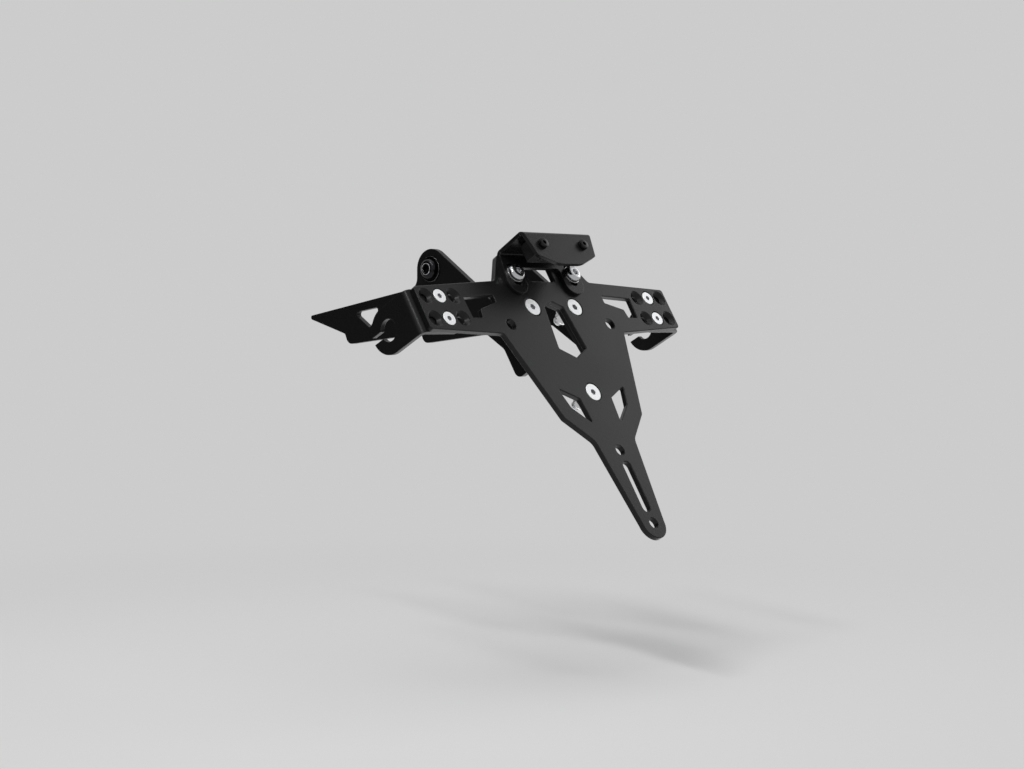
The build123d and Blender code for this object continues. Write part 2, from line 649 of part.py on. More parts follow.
def lamp_board():
    ceiling = LAMP_BOTTOM + LAMP_CAVITY
    half = MOUTH_HALF - LENS_LEDGE - LENS_GAP
    width = MOUTH_WIDTH - 2 * LENS_LEDGE - 2 * LENS_GAP
    return lamp_block(half, width, ceiling - BOARD_T, ceiling)


def lamp_leds():
    seat = LAMP_BOTTOM + LAMP_CAVITY - BOARD_T
    led = lamp_block(LED_LENGTH / 2, LED_WIDTH, seat - LED_T, seat)
    first = -LED_PITCH * (LED_COUNT - 1) / 2
    return [Pos(first + n * LED_PITCH, 0, 0) * led for n in range(LED_COUNT)]


def lamp_grommet():
    """Rubber bush in the lamp's front wall, where its lead comes out."""
    out = turned((
        (GROMMET_BORE_R, -GROMMET_IN), (GROMMET_R, -GROMMET_IN),
        (GROMMET_R, GROMMET_OUT - GROMMET_EDGE_R),
        (GROMMET_R - GROMMET_EDGE_R, GROMMET_OUT), (GROMMET_BORE_R, GROMMET_OUT),
    ))
    return Pos(0, GROMMET_Y, LAMP_FRONT) * (Rot(180, 0, 0) * out)


def lamp_inserts():
    sleeve = ring(INSERT_R, M3_D / 2 + THREAD_GAP, -INSERT_L, 0)
    return at_places(sleeve, LAMP_SCREWS, LAMP_BACK)


def lamp_screws():
    screw = cap_head_screw(M3_D, M3_HEAD_D, M3_HEAD_T, M3_KEY, LIGHT_T + LAMP_SCREW_L - POINT_CHAMFER)
    return at_places(screw, LAMP_SCREWS, LIGHT_DEPTH)


def both_ears(solid):
    """A solid made along +Z from an ear's outer face, set on both ears."""
    right = Pos(BRACKET_HALF, 0, 0) * (Rot(0, 90, 0) * solid)
    return [right, mirror(right, Plane.YZ)]


def tail_washers():
    return both_ears(washer(M6_WASHER_D, M6_D, M6_WASHER_T))


def tail_bolts():
    length = M6_WASHER_T + BRACKET_T + TAIL_BOLT_REACH
    bolt = dome_head_bolt(M6_D, M6_HEAD_D, M6_HEAD_T, M6_KEY, length)
    return both_ears(Pos(0, 0, M6_WASHER_T) * bolt)


ON_PLATE = {
    "plate_carrier": [plate_carrier()],
    "indicator_bracket_left": [indicator_bracket(-1)],
    "indicator_bracket_right": [indicator_bracket(1)],
    "indicator_screws": indicator_screws(),
    "indicator_washers": indicator_washers(),
    "indicator_nuts": indicator_nuts(),
    "tail_bracket": [tail_bracket()],
    "carrier_screws": carrier_screws(),
    "carrier_washers": carrier_washers(),
    "carrier_nuts": carrier_nuts(),
    "light_bracket": [light_bracket()],
    "light_bracket_bolts": light_bracket_bolts(),
    "light_bracket_washers": light_bracket_washers(),
    "light_bracket_nuts": light_bracket_nuts(),
    "lamp_housing": [lamp_housing()],
    "lamp_lens": [lamp_lens()],
    "lamp_board": [lamp_board()],
    "lamp_leds": lamp_leds(),
    "lamp_grommet": [lamp_grommet()],
    "lamp_inserts": lamp_inserts(),
    "lamp_screws": lamp_screws(),
}
ON_TAIL = {
    "tail_bolts": tail_bolts(),
    "tail_washers": tail_washers(),
}

NODES = dict(ON_TAIL)
for name, pieces in ON_PLATE.items():
    NODES[name] = [PLATE_FRAME.location * piece for piece in pieces]

os.makedirs("parts", exist_ok=True)
for name, pieces in NODES.items():
    solids = [solid for piece in pieces for solid in piece.solids()]
    export_step(Compound(children=solids), f"parts/{name}.step")
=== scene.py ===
# %% [markdown]
# # A tail tidy: folded sheet, black powder coat and bright screws
# A tail tidy is a light sheet-metal carrier. One flat plate is cut to shape. It is made to hold a number
# plate, and carries a small lamp and two indicator brackets. One folded bracket reaches forward to the two
# bolts that hold it all. The solids of every piece are already made at their real size, so this lesson is
# about looks. It loads the solids as a fixed frame, gives each one its finish, turns the screws and nuts with
# real threads, and then sets up a floor, soft lights and a camera.

# %% Load the solids
import json
from math import acos, cos, degrees, pi, radians, sin, tan

import bmesh
import bpy
from mathutils import Matrix, Vector


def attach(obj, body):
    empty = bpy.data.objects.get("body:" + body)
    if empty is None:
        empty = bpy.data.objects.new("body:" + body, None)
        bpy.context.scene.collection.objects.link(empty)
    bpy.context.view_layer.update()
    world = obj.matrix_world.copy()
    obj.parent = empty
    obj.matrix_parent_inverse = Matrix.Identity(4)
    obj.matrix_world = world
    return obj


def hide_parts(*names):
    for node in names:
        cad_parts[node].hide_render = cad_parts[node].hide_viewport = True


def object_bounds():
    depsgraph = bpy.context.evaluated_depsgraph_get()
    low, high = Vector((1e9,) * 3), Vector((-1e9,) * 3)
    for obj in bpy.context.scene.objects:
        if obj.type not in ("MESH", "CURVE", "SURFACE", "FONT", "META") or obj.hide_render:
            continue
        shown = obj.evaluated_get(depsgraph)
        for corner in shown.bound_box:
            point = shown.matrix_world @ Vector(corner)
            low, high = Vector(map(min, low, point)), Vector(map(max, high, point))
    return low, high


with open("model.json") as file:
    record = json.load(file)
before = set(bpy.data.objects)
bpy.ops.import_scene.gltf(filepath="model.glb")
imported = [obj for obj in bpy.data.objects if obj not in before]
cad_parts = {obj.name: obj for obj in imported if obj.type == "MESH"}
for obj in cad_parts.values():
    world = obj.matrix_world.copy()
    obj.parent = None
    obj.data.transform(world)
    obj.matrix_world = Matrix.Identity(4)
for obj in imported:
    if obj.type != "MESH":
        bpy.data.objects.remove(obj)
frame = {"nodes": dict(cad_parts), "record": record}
cad_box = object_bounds()
nodes = frame["nodes"]
scene = bpy.context.scene
MM = 0.001
print("solids loaded:", len(nodes), "box in mm:", [round(v / MM, 1) for v in cad_box[1] - cad_box[0]])

# %% [markdown]
# ## Colours and nodes
# A colour is easiest to read as a hex value, as in a paint program, but the renderer works with linear
# light. One function makes that change for the whole file. A second one adds a shader node with its settings
# and its links in one call, because spelled out by hand every node takes three or four lines. A third one
# starts a material: its constants go straight onto the main shader, and only what varies over the surface
# gets nodes.

# %% One function for colours, one for nodes, one to start a finish
def linear(hex_value):
    """Linear RGBA from an sRGB hex value such as '#26272A'."""
    channels = [int(hex_value[place:place + 2], 16) / 255 for place in (1, 3, 5)]
    return [c / 12.92 if c <= 0.04045 else ((c + 0.055) / 1.055) ** 2.4 for c in channels] + [1.0]


def add(tree, kind, inputs=None, **settings):
    """Adds one node: each input is a plain value, or an output of another node to link from."""
    node = tree.nodes.new(kind)
    for name, value in settings.items():
        setattr(node, name, value)
    for key, value in (inputs or {}).items():
        if isinstance(value, bpy.types.NodeSocket):
            tree.links.new(value, node.inputs[key])
        else:
            node.inputs[key].default_value = value
    return node


def start_finish(name, base, metallic, roughness):
    """A new material, with what is the same all over it set on the shader itself."""
    material = bpy.data.materials.new(name)
    material.use_nodes = True
    tree = material.node_tree
    shader = tree.nodes["Principled BSDF"]
    shader.inputs["Base Color"].default_value = linear(base)
    shader.inputs["Metallic"].default_value = metallic
    shader.inputs["Roughness"].default_value = roughness
    return material, tree, shader


def per_mm(size):
    """Texture scale for a pattern of this size in mm, since object coordinates are in metres."""
    return 1 / (size * MM)


print("a mid grey of #808080 is", round(linear("#808080")[0], 3), "in linear light")

# %% [markdown]
# ## Rounded edges with a painted highlight
# Cut edges of sheet metal are never quite sharp, and a rounded edge catches a thin line of light. A modelled
# bevel could show that, but it would change the solids. The Bevel node rounds edges in the shading alone, and
# where its normal leans away from the flat one, a paler colour is painted on as a highlight.

# %% Rounded edges with a painted highlight
EDGE_SAMPLES = 6
FLAT_COSINE = 0.99      # between the rounded and the flat normal, where the painted highlight starts
EDGE_FULL_COSINE = 0.88    # the same, where the painted highlight is full


def painted_edge_highlight(tree, shader, base, highlight_colour, rounding):
    """Paints a paler colour on edges as a highlight. Gives their rounded normal, and a mask that is 1 on them
    and 0 on the flats.
    """
    edge = add(tree, "ShaderNodeBevel", {"Radius": rounding * MM}, samples=EDGE_SAMPLES).outputs["Normal"]
    flat = add(tree, "ShaderNodeNewGeometry").outputs["Normal"]
    lean = add(tree, "ShaderNodeVectorMath", {0: edge, 1: flat}, operation="DOT_PRODUCT").outputs["Value"]
    mask = add(tree, "ShaderNodeMapRange", {
        "Value": lean, "From Min": FLAT_COSINE, "From Max": EDGE_FULL_COSINE,
    }).outputs["Result"]
    # The paler colour mixed in on the edges is a painted highlight.
    colour = add(tree, "ShaderNodeMix", {0: mask, 6: linear(base), 7: linear(highlight_colour)}, data_type="RGBA")
    tree.links.new(colour.outputs[2], shader.inputs["Base Color"])
    return edge, mask


# Where an edge's normal leans this far, its painted highlight is at full strength.
print("an edge is fully rubbed where its normal leans", round(degrees(acos(EDGE_FULL_COSINE))), "degrees")

# %% [markdown]
# ## Satin black powder coat
# The plate and the brackets are powder coated: dry polyester powder is sprayed on, clings by static charge
# and melts to a skin in an oven. The skin flows out but is never quite flat, so it keeps a faint orange peel
# of about a millimetre and a fine grain in its gloss. To the eye that gives a soft, wide sheen on black, with
# a thin pale line along the edges, partly real glints and partly a paler colour painted on as a highlight. A
# painted image could carry this,
# but a noise pattern needs no unwrapping and has the right scale everywhere. The peel is a low bump and the
# grain is a change of roughness.

# %% Powder coat
PEEL = 1.3          # mm, one lump of orange peel
PEEL_HEIGHT = 0.05  # mm
PEEL_STRENGTH = 0.5
GRAIN = 0.5         # mm, coarser than the real grain so that it shows
PATCH = 35.0        # mm, slow drift of the gloss over a panel
NOISE_LOW = 0.3     # a noise pattern mostly lies between these two
NOISE_HIGH = 0.7
COAT_SWING = 0.06   # of the roughness, each way
EDGE_ROUND = 0.45   # mm, skin rounded over a cut edge
EDGE_GLOSS_GAIN = 0.12     # less roughness on the edge, where the highlight is painted
COAT_IOR = 1.5      # typical of polyester
DRY_GLOSS = 0.23    # less than the usual 0.5, because the grain breaks up part of the shine


def powder_coat(name, base, highlight_colour, roughness):
    """Baked polyester skin: orange peel, grain and slow patches in the gloss, and a paler colour painted on
    the edges as a highlight.
    """
    material, tree, shader = start_finish(name, base, metallic=0.0, roughness=roughness)
    edge, mask = painted_edge_highlight(tree, shader, base, highlight_colour, EDGE_ROUND)
    place = add(tree, "ShaderNodeTexCoord").outputs["Object"]
    grain = add(tree, "ShaderNodeTexNoise", {"Vector": place, "Scale": per_mm(GRAIN), "Detail": 3.0})
    patch = add(tree, "ShaderNodeTexNoise", {"Vector": place, "Scale": per_mm(PATCH), "Detail": 1.0})
    mixed = add(tree, "ShaderNodeMath", {0: grain.outputs["Fac"], 1: patch.outputs["Fac"]}, operation="ADD")
    gloss = add(tree, "ShaderNodeMapRange", {
        "Value": mixed.outputs[0], "From Min": 2 * NOISE_LOW, "From Max": 2 * NOISE_HIGH,
        "To Min": roughness - COAT_SWING, "To Max": roughness + COAT_SWING,
    })
    smooth = add(tree, "ShaderNodeMath", {0: mask, 1: -EDGE_GLOSS_GAIN, 2: gloss.outputs["Result"]},
                 operation="MULTIPLY_ADD")
    tree.links.new(smooth.outputs[0], shader.inputs["Roughness"])
    peel = add(tree, "ShaderNodeTexNoise", {"Vector": place, "Scale": per_mm(PEEL), "Detail": 2.0})
    bump = add(tree, "ShaderNodeBump", {
        "Height": peel.outputs["Fac"], "Distance": PEEL_HEIGHT * MM, "Strength": PEEL_STRENGTH,
        "Normal": edge,
    })
    tree.links.new(bump.outputs["Normal"], shader.inputs["Normal"])
    shader.inputs["IOR"].default_value = COAT_IOR
    shader.inputs["Specular IOR Level"].default_value = DRY_GLOSS
    return material


def dress(material, *names):
    """Gives solids of the frame their finish."""
    for name in names:
        nodes[name].material_slots[0].material = material
    print(material.name, "on", ", ".join(names))


# The paler edge colours given here are painted highlights.
plate_coat = powder_coat("powder_coat_on_aluminium_sheet", "#141415", highlight_colour="#2C2C2E", roughness=0.34)
bracket_coat = powder_coat("powder_coat_on_steel_sheet", "#161617", highlight_colour="#2E2E30", roughness=0.3)
dress(plate_coat, "plate_carrier")
dress(bracket_coat, "tail_bracket", "light_bracket", "indicator_bracket_left", "indicator_bracket_right")

# %% [markdown]
# ## Steel with several skins
# Apart from the lamp's two brass inserts the fasteners are steel, and it is the last step of their making
# that the eye sees. Zinc plating leaves the countersunk heads pale and dull, with fine rings from the lathe
# still in them. The light bracket's button heads are polished stainless and work as small mirrors. Stamped
# washers have a grainy, satin face. Black oxide is a thin dark skin with a trace of oil, so it is nearly
# black but keeps a metal's shine. For the lathe's rings the pattern has to run round each screw's own axis,
# so the turned meshes below carry their distance from that axis as an attribute, and a one-dimensional noise
# reads it. The inserts are plain solids without that attribute, so they stay even.

# %% Turned and stamped metal
RING = 0.22         # mm between the lathe's rings, coarser than the real feed so that they show
RING_HEIGHT = 0.01  # mm
STAMP_GRAIN = 0.6   # mm, coarser than the real grain so that it shows
STAMP_SWING = 0.08  # of the roughness, each way
STAMP_ROUND = 0.25  # mm, edges of a stamped ring


def uneven_gloss(tree, shader, pattern, roughness, swing):
    """Lets a finish's roughness swing about its mean with a pattern."""
    gloss = add(tree, "ShaderNodeMapRange", {
        "Value": pattern, "From Min": NOISE_LOW, "From Max": NOISE_HIGH,
        "To Min": roughness - swing, "To Max": roughness + swing,
    })
    tree.links.new(gloss.outputs["Result"], shader.inputs["Roughness"])


def turned_metal(name, base, roughness, swing, ring_strength):
    """Metal off the lathe: rings round the axis, with the roughness swinging from ring to ring."""
    material, tree, shader = start_finish(name, base, metallic=1.0, roughness=roughness)
    away = add(tree, "ShaderNodeAttribute", attribute_name="from_axis").outputs["Fac"]
    rings = add(tree, "ShaderNodeTexNoise", {"W": away, "Scale": 1 / RING, "Detail": 2.0},
                noise_dimensions="1D").outputs["Fac"]
    uneven_gloss(tree, shader, rings, roughness, swing)
    bump = add(tree, "ShaderNodeBump", {
        "Height": rings, "Distance": RING_HEIGHT * MM, "Strength": ring_strength,
    })
    tree.links.new(bump.outputs["Normal"], shader.inputs["Normal"])
    return material


def stamped_metal(name, base, highlight_colour, roughness):
    """Metal from the press: a fine grain in the gloss, softly rounded edges, and a paler colour painted on
    them as a highlight.
    """
    material, tree, shader = start_finish(name, base, metallic=1.0, roughness=roughness)
    place = add(tree, "ShaderNodeTexCoord").outputs["Object"]
    grain = add(tree, "ShaderNodeTexNoise", {"Vector": place, "Scale": per_mm(STAMP_GRAIN), "Detail": 4.0})
    uneven_gloss(tree, shader, grain.outputs["Fac"], roughness, STAMP_SWING)
    edge, _ = painted_edge_highlight(tree, shader, base, highlight_colour, STAMP_ROUND)
    tree.links.new(edge, shader.inputs["Normal"])
    return material


zinc = turned_metal("zinc_plated_steel_turned", "#F4F5F6", roughness=0.58, swing=0.06, ring_strength=0.5)
polished = turned_metal("stainless_steel_polished", "#C4C5C7", roughness=0.14, swing=0.03, ring_strength=0.1)
machined = turned_metal("stainless_steel_machined", "#D2D2D2", roughness=0.2, swing=0.06, ring_strength=0.3)
oxide = turned_metal("black_oxide_steel_turned", "#2C2C2E", roughness=0.26, swing=0.06, ring_strength=0.4)
brass = turned_metal("brass_turned", "#C9A557", roughness=0.3, swing=0.06, ring_strength=0.4)
# The paler edge colours of both stamped finishes are painted highlights.
stamped = stamped_metal("stainless_steel_stamped", "#C6C6C6", highlight_colour="#D8D8D8", roughness=0.26)
stamped_black = stamped_metal("black_oxide_steel_stamped", "#262628", highlight_colour="#9C9C9C", roughness=0.34)
dress(stamped, "carrier_washers", "indicator_washers", "light_bracket_washers")
dress(stamped_black, "tail_washers")
dress(brass, "lamp_inserts")

# %% [markdown]
# ## The lamp's materials
# The plate lamp hangs under the light bracket, with its lens facing down. Its box is moulded ABS: dull black,
# with a fine spark-eroded texture from the mould. The lens is clear polycarbonate, which bends light more
# than window glass does. Behind it sits a board with white solder mask and three emitters, whose silicone is
# filled with yellow phosphor. The grommet is soft black rubber, the least shiny thing on the part. The lock
# nuts' rings are nylon, which is milky and dull. All of them have a faint grain and a slow change of gloss,
# so one function makes them, and only the lens also lets light through.

# %% Mouldings, lens, board and emitters
MOULD_GRAIN = 0.45  # mm, coarser than the real grain so that it shows
FLOW = 6.0          # mm, slow change of gloss where the melt flowed
FLOW_SWING = 0.05   # of the roughness, each way
MOULD_ROUND = 0.2   # mm, edges of a moulding
MOULD_EDGE_SAMPLES = 4


def moulded(name, base, roughness, grain_height, ior):
    """A moulding: the mould's grain as a bump, and a slow change of gloss where the melt flowed."""
    material, tree, shader = start_finish(name, base, metallic=0.0, roughness=roughness)
    place = add(tree, "ShaderNodeTexCoord").outputs["Object"]
    flow = add(tree, "ShaderNodeTexNoise", {"Vector": place, "Scale": per_mm(FLOW), "Detail": 2.0})
    uneven_gloss(tree, shader, flow.outputs["Fac"], roughness, FLOW_SWING)
    grain = add(tree, "ShaderNodeTexNoise", {"Vector": place, "Scale": per_mm(MOULD_GRAIN), "Detail": 2.0})
    edge = add(tree, "ShaderNodeBevel", {"Radius": MOULD_ROUND * MM}, samples=MOULD_EDGE_SAMPLES)
    bump = add(tree, "ShaderNodeBump", {
        "Height": grain.outputs["Fac"], "Distance": grain_height * MM, "Normal": edge.outputs["Normal"],
    })
    tree.links.new(bump.outputs["Normal"], shader.inputs["Normal"])
    shader.inputs["IOR"].default_value = ior
    return material


housing = moulded("abs_moulded", "#17171A", roughness=0.5, grain_height=0.03, ior=1.54)
rubber = moulded("rubber_moulded", "#131314", roughness=0.75, grain_height=0.02, ior=1.52)
mask_white = moulded("solder_mask_white", "#E9EBEA", roughness=0.35, grain_height=0.005, ior=1.55)
phosphor = moulded("phosphor_in_silicone", "#E3C33F", roughness=0.3, grain_height=0.01, ior=1.41)
lens = moulded("polycarbonate_moulded_clear", "#F2F5F6", roughness=0.08, grain_height=0.004, ior=1.585)
lens.node_tree.nodes["Principled BSDF"].inputs["Transmission Weight"].default_value = 1.0
nylon = moulded("nylon_moulded", "#DDE3EA", roughness=0.45, grain_height=0.01, ior=1.53)
dress(housing, "lamp_housing")
dress(rubber, "lamp_grommet")
dress(mask_white, "lamp_board")
dress(phosphor, "lamp_leds")
dress(lens, "lamp_lens")

# %% [markdown]
# ## Where the screws sit
# The solids already hold plain screws and nuts in the right places. Instead of typing those places again,
# this cell reads them: it splits a solid's mesh into its loose parts and measures each one along the axis
# that its top faces. All axes but the tail bolts' run square to the plate, and the record gives that
# direction.

# %% Read places and sizes from the solids
WELD = 0.001        # mm, points closer than this are one
plate_hole = next(mount for mount in frame["record"]["mounts"] if mount["name"] == "plate_hole_left")
plate_out = Vector(plate_hole["axis"])


def loose_parts(name):
    """The points of each separate solid in one node."""
    work = bmesh.new()
    work.from_mesh(nodes[name].data)
    bmesh.ops.remove_doubles(work, verts=work.verts, dist=WELD * MM)
    parts = []
    for first in work.verts:
        if first.tag:
            continue
        first.tag = True
        wave, part = [first], []
        while wave:
            vert = wave.pop()
            part.append(vert.co.copy())
            for edge in vert.link_edges:
                other = edge.other_vert(vert)
                if not other.tag:
                    other.tag = True
                    wave.append(other)
        parts.append(part)
    work.free()
    return parts


def seats(name, out):
    """For each turned solid of a node: its place with the top at z = 0, and its width and length in mm."""
    turn = out.to_track_quat("Z", "Y").to_matrix()
    upright = turn.inverted()
    found = []
    for part in loose_parts(name):
        across, along, up = zip(*[upright @ point for point in part])
        top = turn @ Vector(((min(across) + max(across)) / 2, (min(along) + max(along)) / 2, max(up)))
        place = turn.to_4x4()
        place.translation = top
        found.append((place, (max(along) - min(along)) / MM, (max(up) - min(up)) / MM))
    return found


for name in ("carrier_screws", "indicator_screws", "light_bracket_bolts", "lamp_screws"):
    print(name, [(round(width, 2), round(length, 2)) for _, width, length in seats(name, plate_out)])

# %% [markdown]
# ## Rings and threads
# A screw can be seen as a stack of rings: the floor and the wall of its key socket, the head, the thread and
# the point. The thread is made of rings too: each is an eighth of a turn further round the helix than the one
# above it, so its points slide from crest to root and the joined rings show a real thread. The Screw modifier
# could do this as well, but then the head and the thread would be two meshes.

# %% Rings and threads
SIDES = 48              # points round a ring, eight to each side of a hexagon
TURN_ROWS = 8           # rings in one turn of a thread
THREAD_DEPTH = 0.6134   # of the pitch, as the metric thread has it
CREST = 1 / 8           # of the pitch, flat
ROOT = 1 / 4            # of the pitch, flat
FLANK = (1 - CREST - ROOT) / 2
GROOVE_HALF = (1 - CREST) / 2
GROOVE_MIDDLE = (1 + CREST) / 2
ANGLES = [2 * pi * n / SIDES for n in range(SIDES)]


def circle(radius, height):
    """A round ring."""
    return [(radius * cos(a), radius * sin(a), height) for a in ANGLES]


def hexagon(flats, height):
    """A six-sided ring, from its width across the flats."""
    reach = [flats / 2 / cos(a % (pi / 3) - pi / 6) for a in ANGLES]
    return [(r * cos(a), r * sin(a), height) for r, a in zip(reach, ANGLES)]


def thread(shank, pitch, top, bottom):
    """Rings of a threaded shank, with flat crests and roots."""
    rings = []
    for row in range(int((top - bottom) / pitch * TURN_ROWS)):
        ring = []
        for a in ANGLES:
            phase = (row / TURN_ROWS + a / (2 * pi)) % 1
            fall = min(max((GROOVE_HALF - abs(phase - GROOVE_MIDDLE)) / FLANK, 0), 1)
            r = shank / 2 - THREAD_DEPTH * pitch * fall
            ring.append((r * cos(a), r * sin(a), top - row * pitch / TURN_ROWS))
        rings.append(ring)
    return rings


print("one turn of a thread takes", TURN_ROWS, "rings of", SIDES, "points")

# %% [markdown]
# ## A lathe for screws
# One function joins a stack of rings into a closed mesh, with a cap at each end, or as a loop with no caps
# for a nut. It works as a lathe does, round one axis, and keeps each point's distance from that axis for the
# finish. Blender's Spin tool could turn a profile as well, but it makes no thread, and that distance would
# have to be worked out afterwards. A second function gathers the stacks of one kind of screw into a piece,
# which takes the place of the plain solids.

# %% Join rings to pieces
SHARP_ANGLE = 34.0      # degrees, edges with more turn than this stay hard


def lathe(work, rings, place, closed=False, finish=0, socket_finish=None):
    """Joins rings to a mesh. A key socket's finish goes on the first wall and the first cap, its floor."""
    layer = work.verts.layers.float["from_axis"]
    rows = []
    for ring in rings:
        row = [work.verts.new(place @ (Vector(point) * MM)) for point in ring]
        for vert, point in zip(row, ring):
            vert[layer] = Vector(point[:2]).length
        rows.append(row)
    if closed:
        rows.append(rows[0])
    faces = []
    for upper, lower in zip(rows, rows[1:]):
        for n in range(SIDES):
            m = (n + 1) % SIDES
            faces.append(work.faces.new((upper[n], lower[n], lower[m], upper[m])))
    if not closed:
        faces += [work.faces.new(rows[0]), work.faces.new(rows[-1][::-1])]
    for face in faces:
        face.smooth = True
        face.material_index = finish
    if socket_finish is not None:
        for face in faces[:SIDES] + [faces[-2]]:
            face.material_index = socket_finish


def put(name, stacks, finishes, node):
    """One piece made of ring stacks, in place of the plain solids of a node."""
    work = bmesh.new()
    work.verts.layers.float.new("from_axis")
    for place, rings, options in stacks:
        lathe(work, rings, place, **options)
    mesh = bpy.data.meshes.new(name)
    work.to_mesh(mesh)
    work.free()
    mesh.set_sharp_from_angle(angle=radians(SHARP_ANGLE))
    for finish in finishes:
        mesh.materials.append(finish)
    piece = bpy.data.objects.new(name, mesh)
    scene.collection.objects.link(piece)
    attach(piece, "root")
    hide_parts(node)
    print(name, "has", len(mesh.polygons), "faces")


print("edges that turn by more than", SHARP_ANGLE, "degrees stay hard")

# %% [markdown]
# ## Countersunk screws
# Three M5 screws hold the plate to the folded bracket, and two M4 screws hold each indicator bracket. Their
# flat heads lie level with the coat, so they read as bright discs with a dark hexagon socket. The edges of
# the head and of the socket are broken by a tenth of a millimetre, which catches a thin line of light. The
# socket's wall and floor have a darker finish of their own: partly because little zinc reaches them, and
# partly as painted shade in the recess. A disc with a painted socket would do from far away, but not close
# up.

# %% Countersunk screws
# In mm: the thread's diameter and pitch, and the width of the key and of the nut across their flats.
M3 = {"shank": 3.0, "pitch": 0.5, "key": 2.0}
M4 = {"shank": 4.0, "pitch": 0.7, "key": 2.5, "nut_flats": 7.0}
M5 = {"shank": 5.0, "pitch": 0.8, "key": 3.0, "nut_flats": 8.0}
M6 = {"shank": 6.0, "pitch": 1.0, "key": 4.0}
BREAK = 0.1         # mm, edges of heads and sockets
RIM = 0.35          # mm, straight rim of a countersunk head
HEAD_INSET = 0.2    # mm off the solid's head radius, so that a dark ring shows round the head
KEY_DEPTH = 0.55    # of the head's height, taken by the key's socket
POINT = 0.5         # mm, chamfer at the end of a thread


def socket(key, depth):
    """The key's socket, from its floor up to its mouth at z = 0."""
    return [hexagon(key, -depth), hexagon(key, -BREAK), hexagon(key + 2 * BREAK, 0)]


def shank(size, top, length):
    """Thread from under the head to the point."""
    radius = size["shank"] / 2
    point = [circle(radius - POINT / 2, POINT - length), circle(radius - POINT, -length)]
    return [circle(radius, top), *thread(size["shank"], size["pitch"], top, POINT - length), *point]


def countersunk(size, width, length):
    """Flat head with its top at z = 0, and a cone down to the shank."""
    head = width / 2 - HEAD_INSET
    cone_end = -RIM - head + size["shank"] / 2
    return [
        *socket(size["key"], -cone_end * KEY_DEPTH),
        circle(head - BREAK, 0), circle(head, -BREAK), circle(head, -RIM),
        *shank(size, cone_end, length),
    ]


# The socket's darker finish is partly thinner zinc and partly painted shade of the recess.
socket_thin_zinc_and_shade = turned_metal("steel_punched_in_a_socket", "#B4B4B6", roughness=0.5, swing=0.06, ring_strength=0.2)
for node, size in (("carrier_screws", M5), ("indicator_screws", M4)):
    stacks = [(place, countersunk(size, width, length), {"socket_finish": 1})
              for place, width, length in seats(node, plate_out)]
    put(node + "_threaded", stacks, [zinc, socket_thin_zinc_and_shade], node)

# %% [markdown]
# ## Button heads
# The light bracket's two bolts have low domed heads of polished stainless, and the two tail bolts have the
# same form in black. A dome is an arc that leaves the rim upright and ends at the crown, here in eight steps.
# A flattened ball would be quicker, but would not meet the rim and the crown at the right heights. On the
# tail bolts a thin lip of bright steel is set into the crown's edge, made as a small ring of its own. It is a
# painted highlight, standing in for the glint of light along that edge.

# %% Button heads
M5_DOME = 2.75      # mm, height of the head
M6_DOME = 3.0       # mm, height of the head
DOME_RIM = 0.25     # of the head's height, straight
DOME_ROWS = 8
CROWN = 0.9         # mm of flat crown round the key's socket
LIP_ROWS = 8
LIP_ROUND = 0.2     # mm, bright lip at the crown's edge, a painted highlight


def button(size, width, length, height):
    """Domed head with its crown at z = 0."""
    head = width / 2
    crown = size["key"] / 2 + CROWN
    rim = (DOME_RIM - 1) * height
    inward = head - crown
    arc = (inward ** 2 + rim ** 2) / (2 * inward)
    sweep = acos(1 - inward / arc)
    steps = [sweep * (1 - row / DOME_ROWS) for row in range(DOME_ROWS + 1)]
    dome = [circle(head - arc + arc * cos(a), rim + arc * sin(a)) for a in steps]
    under = [circle(head, BREAK - height), circle(head - BREAK, -height)]
    return [*socket(size["key"], KEY_DEPTH * height), *dome, *under, *shank(size, -height, length)]


def highlight_lip(size):
    """Thin round ring let into the edge of a button head's crown, as a painted highlight."""
    middle_r = size["key"] / 2 + CROWN
    turns = [2 * pi * n / LIP_ROWS for n in range(LIP_ROWS)]
    return [circle(middle_r + LIP_ROUND * cos(a), LIP_ROUND * sin(-a)) for a in turns]


stacks = [(place, button(M5, width, length, M5_DOME), {})
          for place, width, length in seats("light_bracket_bolts", plate_out)]
put("light_bracket_bolts_threaded", stacks, [polished], "light_bracket_bolts")

stacks = []
for side in (-1, 1):
    for place, width, length in seats("tail_bolts", Vector((side, 0, 0))):
        if place.translation.x * side > 0:
            stacks.append((place, button(M6, width, length, M6_DOME), {}))
            # The lip's bright steel is a painted highlight along the crown's edge.
            stacks.append((place, highlight_lip(M6), {"closed": True, "finish": 1}))
put("tail_bolts_threaded", stacks, [oxide, machined], "tail_bolts")

# %% [markdown]
# ## Cap heads
# The lamp's two small cap screws are knurled round the head, so that they can be started by hand. A knurl
# could be a bump, but at the head's outline it would not show. Here every second point of a ring steps in, so
# the grooves are real.

# %% Cap heads
M3_CAP = 2.0        # mm, height of the head
KNURL = 0.09        # mm, depth of the grooves round a cap head
CAP_BEVEL = 0.5     # mm, rounded off the top edge
CAP_EDGE = 0.15     # mm, middle of that rounding
KNURL_TOP = 0.6     # mm, grooves start below the top
KNURL_FOOT = 0.2    # mm, grooves end above the seat


